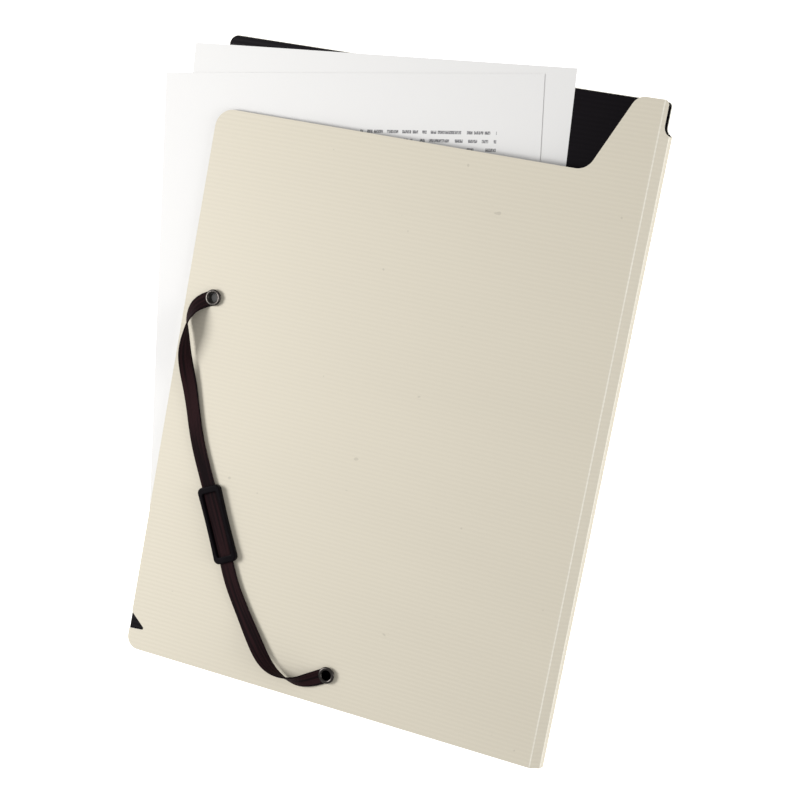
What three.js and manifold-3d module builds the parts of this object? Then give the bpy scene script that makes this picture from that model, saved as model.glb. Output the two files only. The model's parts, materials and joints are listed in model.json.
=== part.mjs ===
// Document folder: one sheet of ribbed plastic creased round a narrow spine, two hollow
// eyelets, a twisted elastic band with a moulded slider, and two sheets of paper inside.
//
// Millimetres. The folder lies on its back cover. The origin is at the centre of the
// back cover's outer face, +X points to the spine, +Y to the top edge and +Z up, out of
// the front cover.

import * as THREE from 'three';
import { mergeVertices } from 'three/addons/utils/BufferGeometryUtils.js';
import Module from 'manifold-3d';

const wasm = await Module();
wasm.setup();

// Folder sheet
const SHEET_T = 0.8;
const COVER_HEIGHT = 340;
const BACK_WIDTH = 242.5;
const REAR_PANEL_WIDTH = 3.8;
const FRONT_PANEL_WIDTH = 5.9;
const FRONT_WIDTH = 235.9;
const REAR_FOLD_DEG = 105.5;
const MIDDLE_FOLD_DEG = 33.5;
const FRONT_FOLD_DEG = 42.2;
const CREASE_GAP = 0.4;

// Front cover outline
const FRONT_STEP = 39.5;
const STEP_FROM_SPINE = 13.5;
const STEP_SLOPE_DEG = 65.5;
const STEP_TOP_RADIUS = 7;
const STEP_FOOT_RADIUS = 9;
const FRONT_TOP_CORNER_R = 10;
const FRONT_FOOT_CORNER_R = 7;
const BACK_CORNER_R = 5;

// Relief cut in the front cover's free edge
const RELIEF_FROM_FOOT = 10.7;
const RELIEF_HEIGHT = 9.5;
const RELIEF_DEPTH = 10;
const RELIEF_TIP_R = 1;

// Finger notch across the top of the spine
const NOTCH_WIDTH = 10;
const NOTCH_DEPTH = 17;
const NOTCH_FROM_MIDDLE_CREASE = 1.5;
const NOTCH_MOUTH_R = 2.4;

// Eyelets
const FIT_GAP = 0.25;
const EYELET_HOLE_R = 2.65;
const EYELET_WALL = 0.3;
const EYELET_FLANGE_R = 4.5;
const EYELET_CREST = 1;
const EYELET_METAL = 0.4;
const EYELET_INSET = 17;
const UPPER_EYELET_Y = 200.3;
const LOWER_EYELET_X = 120;
const WASHER_T = 0.3;
const WASHER_R = 4.6;
const ROLL_R = 3.9;
const ROLL_T = 0.4;

// Elastic band
const BAND_WIDTH = 8;
const BAND_T = 0.9;
const BAND_EDGE = 0.2;
const TWIST_LIFT = 1.2;
const TWIST_LENGTH = 72;
const BAND_STEPS = 96;

// Slider
const SLIDER_LENGTH = 42.5;
const SLIDER_WIDTH = 13.4;
const SLIDER_WAIST = 0.35;
const SLIDER_CORNER_R = 3;
const SLIDER_FLOOR = 0.8;
const SLIDER_BAR = 3.6;
const SLIDER_BAR_T = 1.2;
const SLIDER_ROUND = 0.5;
const SLIDER_SIDE_GAP = 0.4;
const SLIDER_X = 43;
const SLIDER_Y = 80.8;
const SLIDER_DIRECTION_DEG = -64;
const SLIDER_RUN_UP = 47;
const SLIDER_RUN_DOWN = 34;

// Paper
const PAPER_WIDTH = 210;
const PAPER_HEIGHT = 297;
const PAPER_T = 0.2;
const REAR_PAPER_TURN_DEG = 4.6;
const REAR_PAPER_CORNER_X = 189.6;
const REAR_PAPER_ABOVE_COVER = 9.3;
const FRONT_PAPER_TURN_DEG = 8.2;
const FRONT_PAPER_CORNER_X = 173.8;
const FRONT_PAPER_ABOVE_COVER = 4.2;

const CURVE_STEPS = 14;
const RAD = Math.PI / 180;

// Derived sizes
const HALF_T = SHEET_T / 2;
const GROOVE_R = HALF_T + CREASE_GAP;
const FRONT_LOW_HEIGHT = COVER_HEIGHT - FRONT_STEP;
const BAND_HOLE_R = EYELET_HOLE_R + EYELET_WALL + FIT_GAP;
const BAND_REST = HALF_T + FIT_GAP + BAND_T / 2;
const FLANGE_Z = BAND_REST + BAND_T / 2 + FIT_GAP;
const SLIDER_Z = HALF_T + FIT_GAP;
const BAND_RIDE = SLIDER_Z + SLIDER_FLOOR + FIT_GAP + BAND_T / 2;

// Solids from closed meshes, for joining and cutting
function solid(geometry) {
  const bare = geometry.index ? geometry.toNonIndexed() : geometry.clone();
  bare.deleteAttribute('normal');
  bare.deleteAttribute('uv');
  const merged = mergeVertices(bare, 1e-4);
  return new wasm.Manifold(new wasm.Mesh({
    numProp: 3,
    vertProperties: new Float32Array(merged.attributes.position.array),
    triVerts: new Uint32Array(merged.index.array),
  }));
}

function geometryOf(body) {
  const mesh = body.getMesh();
  const geometry = new THREE.BufferGeometry();
  geometry.setAttribute('position', new THREE.BufferAttribute(new Float32Array(mesh.vertProperties), 3));
  geometry.setIndex(new THREE.BufferAttribute(new Uint32Array(mesh.triVerts), 1));
  geometry.computeVertexNormals();
  return geometry;
}

function plate(shape, thickness = SHEET_T) {
  const geometry = new THREE.ExtrudeGeometry(shape, {
    depth: thickness,
    bevelEnabled: false,
    curveSegments: CURVE_STEPS,
  });
  geometry.translate(0, 0, -thickness / 2);
  return solid(geometry);
}

function rod(radius, length, sides = 24) {
  return solid(new THREE.CylinderGeometry(radius, radius, length, sides));
}

function standingRod(radius, length, x, y) {
  const geometry = new THREE.CylinderGeometry(radius, radius, length, 40);
  geometry.rotateX(Math.PI / 2);
  geometry.translate(x, y, 0);
  return solid(geometry);
}

// A closed outline whose corners are rounded: each corner is [x, y, radius]
function roundedOutline(corners) {
  const shape = new THREE.Shape();
  corners.forEach(([x, y, radius = 0], i) => {
    const corner = new THREE.Vector2(x, y);
    const before = new THREE.Vector2(...corners[(i + corners.length - 1) % corners.length]);
    const after = new THREE.Vector2(...corners[(i + 1) % corners.length]);
    const inward = before.sub(corner).normalize();
    const outward = after.sub(corner).normalize();
    const half = Math.acos(THREE.MathUtils.clamp(inward.dot(outward), -1, 1)) / 2;
    const reach = radius / Math.tan(half);
    const start = corner.clone().addScaledVector(inward, reach);
    const end = corner.clone().addScaledVector(outward, reach);
    if (i === 0) {
      shape.moveTo(start.x, start.y);
    } else {
      shape.lineTo(start.x, start.y);
    }
    if (radius > 0) {
      const middle = inward.clone().add(outward).normalize();
      const centre = corner.clone().addScaledVector(middle, radius / Math.sin(half));
      const turn = inward.x * outward.y - inward.y * outward.x;
      const from = Math.atan2(start.y - centre.y, start.x - centre.x);
      const to = Math.atan2(end.y - centre.y, end.x - centre.x);
      shape.absarc(centre.x, centre.y, radius, from, to, turn > 0);
    }
  });
  shape.closePath();
  return shape;
}

// Finger notch, drawn on the flat sheet with its middle at the given place
function notchCutter(middle) {
  const half = NOTCH_WIDTH / 2;
  const mouth = half + NOTCH_MOUTH_R;
  const above = COVER_HEIGHT + SHEET_T;
  const shape = new THREE.Shape();
  shape.moveTo(middle + mouth, above);
  shape.lineTo(middle - mouth, above);
  shape.lineTo(middle - mouth, COVER_HEIGHT);
  shape.absarc(middle - mouth, COVER_HEIGHT - NOTCH_MOUTH_R, NOTCH_MOUTH_R, Math.PI / 2, 0, true);
  shape.absarc(middle, COVER_HEIGHT - NOTCH_DEPTH + half, half, Math.PI, 2 * Math.PI, false);
  shape.absarc(middle + mouth, COVER_HEIGHT - NOTCH_MOUTH_R, NOTCH_MOUTH_R, Math.PI, Math.PI / 2, true);
  shape.closePath();
  return plate(shape, 4 * SHEET_T);
}

// A crease keeps a round bead on one panel and a hollow round it on the next
function bead(x) {
  const body = rod(HALF_T, COVER_HEIGHT);
  return body.translate(x, COVER_HEIGHT / 2, 0);
}

function hollow(x) {
  const body = rod(GROOVE_R, COVER_HEIGHT + 2 * SHEET_T);
  return body.translate(x, COVER_HEIGHT / 2, 0);
}

function panelOutline(from, to) {
  return roundedOutline([
    [from, 0],
    [to, 0],
    [to, COVER_HEIGHT],
    [from, COVER_HEIGHT],
  ]);
}

// Places across the flat sheet, measured from the middle crease
const notchOnFrontPanel = -NOTCH_FROM_MIDDLE_CREASE;
const notchOnRearPanel = REAR_PANEL_WIDTH - NOTCH_FROM_MIDDLE_CREASE;
const notchOnBack = BACK_WIDTH + notchOnRearPanel;

function backCover() {
  const outline = roundedOutline([
    [0, 0, BACK_CORNER_R],
    [BACK_WIDTH, 0],
    [BACK_WIDTH, COVER_HEIGHT],
    [0, COVER_HEIGHT, BACK_CORNER_R],
  ]);
  return plate(outline).add(bead(BACK_WIDTH)).subtract(notchCutter(notchOnBack));
}

function spineRearPanel() {
  const body = plate(panelOutline(0, REAR_PANEL_WIDTH)).add(bead(REAR_PANEL_WIDTH));
  return body.subtract(hollow(0)).subtract(notchCutter(notchOnRearPanel));
}

function spineFrontPanel() {
  const body = plate(panelOutline(0, FRONT_PANEL_WIDTH)).add(bead(FRONT_PANEL_WIDTH));
  return body.subtract(hollow(0)).subtract(notchCutter(notchOnFrontPanel));
}

// The front cover is drawn from its free edge, seen from outside
function frontCover() {
  const stepRun = FRONT_STEP / Math.tan(STEP_SLOPE_DEG * RAD);
  const stepTop = FRONT_WIDTH - STEP_FROM_SPINE;
  const reliefTop = RELIEF_FROM_FOOT + RELIEF_HEIGHT;
  const reliefTip = RELIEF_FROM_FOOT + RELIEF_HEIGHT * 0.1;
  const outline = roundedOutline([
    [0, 0, FRONT_FOOT_CORNER_R],
    [FRONT_WIDTH, 0],
    [FRONT_WIDTH, COVER_HEIGHT],
    [stepTop, COVER_HEIGHT, STEP_TOP_RADIUS],
    [stepTop - stepRun, FRONT_LOW_HEIGHT, STEP_FOOT_RADIUS],
    [0, FRONT_LOW_HEIGHT, FRONT_TOP_CORNER_R],
    [0, reliefTop],
    [RELIEF_DEPTH, reliefTip, RELIEF_TIP_R],
    [0, RELIEF_FROM_FOOT],
  ]);
  let body = plate(outline).subtract(hollow(FRONT_WIDTH));
  body = body.subtract(notchCutter(FRONT_WIDTH + FRONT_PANEL_WIDTH - notchOnFrontPanel));
  for (const [x, y] of eyeletPlaces) {
    body = body.subtract(standingRod(BAND_HOLE_R, 4 * SHEET_T, x, y));
  }
  return body;
}

const eyeletPlaces = [
  [EYELET_INSET, UPPER_EYELET_Y],
  [LOWER_EYELET_X, EYELET_INSET],
];

// Hollow eyelet: crowned flange over the band, barrel, and a rolled rim under the washer
function eyelet() {
  const outer = EYELET_HOLE_R + EYELET_WALL;
  const top = FLANGE_Z + EYELET_CREST;
  const crest = outer + 0.45 * (EYELET_FLANGE_R - outer);
  const rollTop = -HALF_T - WASHER_T - 2 * FIT_GAP;
  const rollFoot = rollTop - ROLL_T;
  const profile = [
    [EYELET_HOLE_R, rollFoot + 0.5 * ROLL_T],
    [EYELET_HOLE_R + 0.3 * EYELET_WALL, rollFoot + 0.15 * ROLL_T],
    [outer, rollFoot],
    [ROLL_R - 0.5 * ROLL_T, rollFoot],
    [ROLL_R, rollFoot + 0.5 * ROLL_T],
    [ROLL_R - 0.3 * ROLL_T, rollTop],
    [outer, rollTop],
    [outer, FLANGE_Z],
    [EYELET_FLANGE_R - 0.5 * EYELET_METAL, FLANGE_Z],
    [EYELET_FLANGE_R, FLANGE_Z + 0.4 * EYELET_METAL],
    [EYELET_FLANGE_R - 0.1 * EYELET_METAL, FLANGE_Z + 0.8 * EYELET_METAL],
    [0.5 * (crest + EYELET_FLANGE_R), FLANGE_Z + 0.82 * EYELET_CREST],
    [crest + 0.4 * EYELET_METAL, top - 0.03 * EYELET_CREST],
    [crest - 0.1 * EYELET_METAL, top],
    [crest - 0.7 * EYELET_METAL, top - 0.1 * EYELET_CREST],
    [EYELET_HOLE_R + 0.3 * EYELET_WALL, top - 0.42 * EYELET_CREST],
    [EYELET_HOLE_R, FLANGE_Z + 0.2 * EYELET_CREST],
  ];
  return turned(profile);
}

function washer() {
  const inner = EYELET_HOLE_R + EYELET_WALL + FIT_GAP;
  const top = -HALF_T - FIT_GAP;
  return turned([
    [inner, top - WASHER_T],
    [WASHER_R - 0.3 * WASHER_T, top - WASHER_T],
    [WASHER_R, top - 0.6 * WASHER_T],
    [WASHER_R, top],
    [inner, top],
  ]);
}

function turned(profile) {
  const points = profile.map(([r, z]) => new THREE.Vector2(r, z));
  points.push(points[0].clone());
  const geometry = new THREE.LatheGeometry(points, 48);
  geometry.rotateX(Math.PI / 2);
  const body = solid(geometry);
  return body.volume() < 0 ? solid(flipped(geometry)) : body;
}

function flipped(geometry) {
  const copy = geometry.clone();
  const index = copy.index.array;
  for (let i = 0; i < index.length; i += 3) {
    [index[i], index[i + 1]] = [index[i + 1], index[i]];
  }
  return copy;
}

// Straight stretch of the band that the slider runs on, seen from outside
const runDirection = new THREE.Vector2(
  Math.cos(SLIDER_DIRECTION_DEG * RAD),
  Math.sin(SLIDER_DIRECTION_DEG * RAD),
);

function onRun(distance) {
  return new THREE.Vector2(SLIDER_X, SLIDER_Y).addScaledVector(runDirection, distance);
}

// The band's middle line in plan: out of the upper eyelet towards the free edge, down
// across the corner, and along the bottom edge to the lower eyelet
function bandPlan() {
  const upper = new THREE.Vector2(EYELET_INSET, UPPER_EYELET_Y);
  const lower = new THREE.Vector2(LOWER_EYELET_X, EYELET_INSET);
  const offsets = (from, list) => list.map(([x, y]) => new THREE.Vector2(from.x + x, from.y + y));
  const points = [
    upper,
    ...offsets(upper, [[-5, -2.4], [-8.9, -6.3], [-10.8, -13], [-10.3, -21], [-8.9, -33.5], [-3.4, -51.5]]),
    onRun(-SLIDER_RUN_UP),
    onRun(-SLIDER_RUN_UP / 3),
    onRun(SLIDER_RUN_DOWN / 3),
    onRun(SLIDER_RUN_DOWN),
    ...offsets(lower, [[-45.4, 10.2], [-33.3, -2], [-24.6, -6], [-15.2, -6.8], [-7.6, -4.2]]),
    lower,
  ].map((p) => new THREE.Vector3(p.x, p.y, 0));
  return new THREE.CatmullRomCurve3(points, false, 'centripetal');
}

// Half a turn that starts quickly behind the eyelet and dies out slowly
function twistAt(distance) {
  const start = EYELET_FLANGE_R + FIT_GAP;
  const share = THREE.MathUtils.clamp((distance - start) / (TWIST_LENGTH - start), 0, 1);
  const eased = share ** 0.65;
  return Math.PI * eased * eased * (3 - 2 * eased);
}

function elasticBand() {
  const plan = bandPlan();
  const length = plan.getLength();
  const half = BAND_WIDTH / 2;
  const thick = BAND_T / 2;
  const section = [
    [half, thick - BAND_EDGE],
    [half - BAND_EDGE, thick],
    [-half + BAND_EDGE, thick],
    [-half, thick - BAND_EDGE],
    [-half, -thick + BAND_EDGE],
    [-half + BAND_EDGE, -thick],
    [half - BAND_EDGE, -thick],
    [half, -thick + BAND_EDGE],
  ];
  const middle = [];
  const twist = [];
  for (let i = 0; i <= BAND_STEPS; i += 1) {
    const share = i / BAND_STEPS;
    const fromUpper = share * length;
    const turn = twistAt(Math.min(fromUpper, length - fromUpper));
    const lift = Math.sin(turn) * half * TWIST_LIFT;
    const ride = (BAND_RIDE - BAND_REST) * (turn / Math.PI);
    const point = plan.getPointAt(share);
    point.z = BAND_REST + ride + lift;
    middle.push(point);
    twist.push(turn);
  }
  const up = new THREE.Vector3(0, 0, 1);
  const rings = middle.map((point, i) => {
    const ahead = middle[Math.min(i + 1, BAND_STEPS)];
    const behind = middle[Math.max(i - 1, 0)];
    const along = ahead.clone().sub(behind).normalize();
    const across = new THREE.Vector3().crossVectors(up, along).normalize();
    const over = new THREE.Vector3().crossVectors(along, across).normalize();
    const cos = Math.cos(twist[i]);
    const sin = Math.sin(twist[i]);
    return section.map(([w, t]) => point.clone()
      .addScaledVector(across, w * cos - t * sin)
      .addScaledVector(over, w * sin + t * cos));
  });
  const strap = solid(loft(rings));
  const ends = eyeletPlaces.map(([x, y]) => {
    const end = standingRod(half, BAND_T, x, y);
    return end.translate(0, 0, BAND_REST);
  });
  let body = strap.add(ends[0]).add(ends[1]);
  for (const [x, y] of eyeletPlaces) {
    body = body.subtract(standingRod(BAND_HOLE_R, 6 * BAND_REST, x, y));
  }
  return body;
}

// A closed skin over a row of rings, each with the same number of points
function loft(rings) {
  const sides = rings[0].length;
  const positions = rings.flat().flatMap((p) => [p.x, p.y, p.z]);
  const index = [];
  for (let r = 0; r < rings.length - 1; r += 1) {
    for (let s = 0; s < sides; s += 1) {
      const a = r * sides + s;
      const b = r * sides + ((s + 1) % sides);
      index.push(a, b, a + sides, b, b + sides, a + sides);
    }
  }
  const last = (rings.length - 1) * sides;
  for (let s = 1; s < sides - 1; s += 1) {
    index.push(0, s + 1, s);
    index.push(last, last + s, last + s + 1);
  }
  const geometry = new THREE.BufferGeometry();
  geometry.setAttribute('position', new THREE.Float32BufferAttribute(positions, 3));
  geometry.setIndex(index);
  return geometry;
}

// Slider: a flat sleeve with a floor under the band and a bar over it at each end
function bandSlider() {
  const halfLength = SLIDER_LENGTH / 2;
  const halfWidth = SLIDER_WIDTH / 2;
  const waist = halfWidth - SLIDER_WAIST;
  const passage = BAND_WIDTH / 2 + SLIDER_SIDE_GAP;
  const floorTop = SLIDER_Z + SLIDER_FLOOR;
  const barFoot = floorTop + BAND_T + 2 * FIT_GAP;
  const top = barFoot + SLIDER_BAR_T;
  const shape = new THREE.Shape();
  const corner = SLIDER_CORNER_R - SLIDER_ROUND;
  const right = halfLength - SLIDER_ROUND;
  const side = halfWidth - SLIDER_ROUND;
  const pinch = waist - SLIDER_ROUND;
  shape.moveTo(-right + corner, -side);
  shape.quadraticCurveTo(0, -2 * pinch + side, right - corner, -side);
  shape.absarc(right - corner, -side + corner, corner, -Math.PI / 2, 0, false);
  shape.absarc(right - corner, side - corner, corner, 0, Math.PI / 2, false);
  shape.quadraticCurveTo(0, 2 * pinch - side, -right + corner, side);
  shape.absarc(-right + corner, side - corner, corner, Math.PI / 2, Math.PI, false);
  shape.absarc(-right + corner, -side + corner, corner, Math.PI, 1.5 * Math.PI, false);
  shape.closePath();
  const shell = new THREE.ExtrudeGeometry(shape, {
    depth: top - SLIDER_Z - 2 * SLIDER_ROUND,
    bevelThickness: SLIDER_ROUND,
    bevelSize: SLIDER_ROUND,
    bevelSegments: 3,
    curveSegments: 10,
  });
  shell.translate(0, 0, SLIDER_Z + SLIDER_ROUND);
  const tunnel = new THREE.BoxGeometry(2 * SLIDER_LENGTH, 2 * passage, barFoot - floorTop);
  tunnel.translate(0, 0, (barFoot + floorTop) / 2);
  const reach = halfLength - SLIDER_BAR;
  const window = roundedOutline([
    [-reach, -passage, 1],
    [reach, -passage, 1],
    [reach, passage, 1],
    [-reach, passage, 1],
  ]);
  const opening = new THREE.ExtrudeGeometry(window, {
    depth: 2 * SLIDER_BAR_T,
    bevelEnabled: false,
    curveSegments: 6,
  });
  opening.translate(0, 0, (barFoot + floorTop) / 2);
  return solid(shell).subtract(solid(tunnel)).subtract(solid(opening));
}

function paper() {
  return new THREE.BoxGeometry(PAPER_WIDTH, PAPER_HEIGHT, PAPER_T);
}

// Scene
function piece(name, geometry, colour, roughness, metalness = 0) {
  const material = new THREE.MeshStandardMaterial({ color: colour, roughness, metalness });
  const mesh = new THREE.Mesh(geometry, material);
  mesh.name = name;
  return mesh;
}

const CREAM = 0xded7c2;
const BAND_COLOUR = 0x241a1f;
const GUNMETAL = 0x3a3735;
const WASHER_COLOUR = 0x55514e;
const SLIDER_COLOUR = 0x1d1a1c;
const PAPER_COLOUR = 0xf6f6f4;

const folder = new THREE.Group();

// Each panel's group stands on the crease that it turns about, with +X away from it
const back = new THREE.Group();
back.position.set(-BACK_WIDTH / 2, -COVER_HEIGHT / 2, HALF_T);
folder.add(back);
back.add(piece('back_cover', geometryOf(backCover()), CREAM, 0.45));

const rearPanel = new THREE.Group();
rearPanel.position.set(BACK_WIDTH, 0, 0);
rearPanel.rotation.y = -REAR_FOLD_DEG * RAD;
back.add(rearPanel);
rearPanel.add(piece('spine_rear_panel', geometryOf(spineRearPanel()), CREAM, 0.45));

const frontPanel = new THREE.Group();
frontPanel.position.set(REAR_PANEL_WIDTH, 0, 0);
frontPanel.rotation.y = -MIDDLE_FOLD_DEG * RAD;
rearPanel.add(frontPanel);
frontPanel.add(piece('spine_front_panel', geometryOf(spineFrontPanel()), CREAM, 0.45));

const front = new THREE.Group();
front.position.set(FRONT_PANEL_WIDTH, 0, 0);
front.rotation.y = -FRONT_FOLD_DEG * RAD;
frontPanel.add(front);

// The front cover and what it carries are placed from its free edge, seen from outside
const face = new THREE.Group();
face.position.set(FRONT_WIDTH, 0, 0);
face.rotation.y = Math.PI;
front.add(face);
face.add(piece('front_cover', geometryOf(frontCover()), CREAM, 0.45));
face.add(piece('elastic_band', geometryOf(elasticBand()), BAND_COLOUR, 0.9));

['upper', 'lower'].forEach((which, i) => {
  const seat = new THREE.Group();
  seat.position.set(...eyeletPlaces[i], 0);
  seat.add(piece(`${which}_eyelet`, geometryOf(eyelet()), GUNMETAL, 0.3, 1));
  seat.add(piece(`${which}_eyelet_washer`, geometryOf(washer()), WASHER_COLOUR, 0.4, 1));
  face.add(seat);
});

const slider = new THREE.Group();
slider.position.set(SLIDER_X, SLIDER_Y, 0);
slider.rotation.z = SLIDER_DIRECTION_DEG * RAD;
slider.add(piece('band_slider', geometryOf(bandSlider()), SLIDER_COLOUR, 0.35));
face.add(slider);

// Two sheets of paper on the back cover, each placed by its top right corner
[
  ['rear_sheet', REAR_PAPER_TURN_DEG, REAR_PAPER_CORNER_X, REAR_PAPER_ABOVE_COVER],
  ['front_sheet', FRONT_PAPER_TURN_DEG, FRONT_PAPER_CORNER_X, FRONT_PAPER_ABOVE_COVER],
].forEach(([name, turn, x, above], i) => {
  const corner = new THREE.Group();
  corner.position.set(x, COVER_HEIGHT + above, HALF_T + (i + 0.5) * PAPER_T);
  corner.rotation.z = turn * RAD;
  const sheet = piece(name, paper(), PAPER_COLOUR, 0.85);
  sheet.position.set(-PAPER_WIDTH / 2, -PAPER_HEIGHT / 2, 0);
  corner.add(sheet);
  back.add(corner);
});

export default folder;
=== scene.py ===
"""Document folder of ribbed plastic with an elastic band, a slider and two sheets of paper."""

import json
import math

import bmesh
import bpy
from mathutils import Matrix, Vector


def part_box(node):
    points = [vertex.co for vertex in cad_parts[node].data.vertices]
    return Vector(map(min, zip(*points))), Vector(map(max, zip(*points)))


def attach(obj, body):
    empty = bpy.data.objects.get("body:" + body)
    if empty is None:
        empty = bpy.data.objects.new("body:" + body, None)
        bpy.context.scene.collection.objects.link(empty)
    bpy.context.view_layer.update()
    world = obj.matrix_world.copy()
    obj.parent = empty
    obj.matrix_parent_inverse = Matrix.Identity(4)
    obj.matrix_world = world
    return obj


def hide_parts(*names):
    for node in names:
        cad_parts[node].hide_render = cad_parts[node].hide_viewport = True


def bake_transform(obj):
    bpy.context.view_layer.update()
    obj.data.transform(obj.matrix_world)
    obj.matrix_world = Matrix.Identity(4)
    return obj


bl_info = {
    "name": "Document folder with elastic band",
    "version": (1, 0, 0),
    "blender": (4, 5, 0),
    "location": "3D View > Sidebar > Folder",
    "description": "Ribbed plastic folder with an elastic band, a slider, eyelets and paper",
    "category": "Add Mesh",
}

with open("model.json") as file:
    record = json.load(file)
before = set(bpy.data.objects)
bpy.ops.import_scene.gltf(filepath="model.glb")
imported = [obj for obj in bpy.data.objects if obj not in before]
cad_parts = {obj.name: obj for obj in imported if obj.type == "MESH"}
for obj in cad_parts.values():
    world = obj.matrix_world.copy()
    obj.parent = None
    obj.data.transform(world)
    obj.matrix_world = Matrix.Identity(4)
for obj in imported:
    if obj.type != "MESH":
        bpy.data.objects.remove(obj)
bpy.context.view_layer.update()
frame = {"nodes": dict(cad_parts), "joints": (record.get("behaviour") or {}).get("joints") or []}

MM = 0.001
CREASES = {joint["name"]: Vector(joint["pos_m"]) for joint in frame["joints"] if "pos_m" in joint}
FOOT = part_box("back_cover")[0].y
COVER_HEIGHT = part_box("back_cover")[1].y - FOOT

# Places across the flat sheet, measured from the middle crease
REAR_PANEL_WIDTH = 3.8 * MM
FRONT_PANEL_WIDTH = 5.9 * MM
FRONT_WIDTH = 235.9 * MM

# The notch in the spine's top edge
NOTCH_MIDDLE = -1.5 * MM
NOTCH_HALF = 5.0 * MM
NOTCH_DEPTH = 17.0 * MM
NOTCH_MOUTH_R = 2.4 * MM

# How far the sheet turns at its rear, middle and front crease, in degrees
CREASE_TURNS = (105.5, 33.5, 42.2)

# Heights above the front cover's middle plane
SHEET_HALF_T = 0.4 * MM
BAND_REST = 1.1 * MM
BAND_RIDE = 2.15 * MM
FLANGE_FOOT = 1.8 * MM


def between(start, end):
    """The unit vector from one place to another."""
    return (end - start).normalized()


REAR_PANEL_WAY = between(CREASES["rear_crease"], CREASES["middle_crease"])
FRONT_PANEL_WAY = between(CREASES["middle_crease"], CREASES["front_crease"])
FRONT_TURN = math.radians(sum(CREASE_TURNS))
FRONT_WAY = Vector((math.cos(FRONT_TURN), 0.0, math.sin(FRONT_TURN)))
FREE_EDGE = CREASES["front_crease"] + FRONT_WAY * FRONT_WIDTH

# The front cover is measured from its free edge and its foot, outwards from its middle plane
FACE = Matrix.Translation((FREE_EDGE.x, FOOT, FREE_EDGE.z)) @ Matrix(
    (
        (-FRONT_WAY.x, 0.0, FRONT_WAY.z, 0.0),
        (0.0, 1.0, 0.0, 0.0),
        (-FRONT_WAY.z, 0.0, -FRONT_WAY.x, 0.0),
        (0.0, 0.0, 0.0, 1.0),
    )
)


# Sizes and colours


def length(name, description, default):
    """A length setting, given in millimetres."""
    return bpy.props.FloatProperty(
        name=name,
        description=description,
        default=default * MM,
        min=0.0,
        unit="LENGTH",
        precision=5,
    )


def colour(name, description, default):
    """A colour setting."""
    return bpy.props.FloatVectorProperty(
        name=name,
        description=description,
        default=default,
        subtype="COLOR",
        size=3,
        min=0.0,
        max=1.0,
    )


class FolderSheetSettings(bpy.types.PropertyGroup):
    cream: colour("Outside", "Colour of the sheet's outer face", (0.665, 0.615, 0.505))
    black: colour("Inside", "Colour of the sheet's inner face", (0.0024, 0.0012, 0.0026))
    cut: colour("Cut edge", "Colour of the cut and creased plastic", (0.96, 0.93, 0.84))
    rib_pitch: length("Rib pitch", "Distance from one rib to the next", 2.3)
    rib_height: length("Rib height", "How far a rib stands out", 0.042)
    edge_round: length("Edge rounding", "Width of the rounding along the cut edges", 0.37)
    crease_reach: length("Crease reach", "Width of the folded strip on each side of a crease", 1.4)
    crease_radius: length("Crease radius", "Radius of the fold's middle line", 0.6)


class BandSettings(bpy.types.PropertyGroup):
    yarn: colour("Yarn", "Colour of the elastic's outer yarn", (0.021, 0.0072, 0.0085))
    # The groove colour is painted shade between the cords, and also the dark end of the random
    # streaks.
    groove: colour("Groove", "Colour between the lengthwise ribs", (0.0024, 0.0012, 0.0018))
    width: length("Width", "Width of the flat elastic", 8.0)
    thickness: length("Thickness", "Thickness of the flat elastic", 0.9)
    twist_length: length("Twist length", "Length in which the band turns over by an eyelet", 72.0)
    steps: bpy.props.IntProperty(
        name="Steps", description="Sections along the band", default=230, min=40
    )


class MetalSettings(bpy.types.PropertyGroup):
    plating: colour("Plating", "Colour of the gunmetal plating", (0.06, 0.054, 0.05))
    hole_radius: length("Hole radius", "Inner radius of an eyelet", 2.65)
    flange_radius: length("Flange radius", "Outer radius of an eyelet's crown", 4.5)
    crown_height: length("Crown height", "Height of an eyelet's crown", 1.0)
    washer_radius: length("Washer radius", "Outer radius of the washer behind the cover", 4.6)
    turns: bpy.props.IntProperty(
        name="Facets", description="Facets round an eyelet", default=72, min=24
    )


class SliderSettings(bpy.types.PropertyGroup):
    plastic: colour("Plastic", "Colour of the moulded slider", (0.0042, 0.0032, 0.0042))
    grain: length("Detail", "Size of the smallest rounded detail", 0.2)


class PaperSettings(bpy.types.PropertyGroup):
    white: colour("Paper", "Colour of the paper", (0.8, 0.792, 0.78))
    ink: colour("Print", "Colour of the generic printed lines", (0.12, 0.12, 0.13))
    width: length("Width", "Width of a sheet", 210.0)
    height: length("Height", "Height of a sheet", 297.0)
    thickness: length("Thickness", "Thickness of a sheet", 0.11)
    lift: length("Edge lift", "How far the front sheet's right edge stands up", 0.12)


class StageSettings(bpy.types.PropertyGroup):
    floor: colour("Floor", "Colour of the floor", (0.92, 0.92, 0.92))
    floor_glow: bpy.props.FloatProperty(
        name="Floor glow", description="Light that the pale floor gives off", default=0.75, min=0.0
    )
    sky: bpy.props.FloatProperty(
        name="Room light", description="Brightness of the white room", default=0.46, min=0.0
    )
    key_power: bpy.props.FloatProperty(
        name="Key light",
        description="Power of the large soft light",
        default=8.0,
        min=0.0,
        unit="POWER",
    )
    key_size: length("Key size", "Side of the large soft light", 360.0)
    fill_power: bpy.props.FloatProperty(
        name="Fill light",
        description="Power of the weak light beside the spine",
        default=6.0,
        min=0.0,
        unit="POWER",
    )
    lens: bpy.props.FloatProperty(
        name="Lens", description="Focal length of the camera", default=69.7118, unit="CAMERA"
    )


# Modelling steps


def alone(piece):
    """Selects one piece and makes it the active one."""
    bpy.ops.object.select_all(action="DESELECT")
    piece.select_set(True)
    bpy.context.view_layer.objects.active = piece


def edit(piece):
    """Opens a piece in edit mode with all of it selected."""
    alone(piece)
    bpy.ops.object.mode_set(mode="EDIT")
    bpy.ops.mesh.select_all(action="SELECT")


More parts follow.
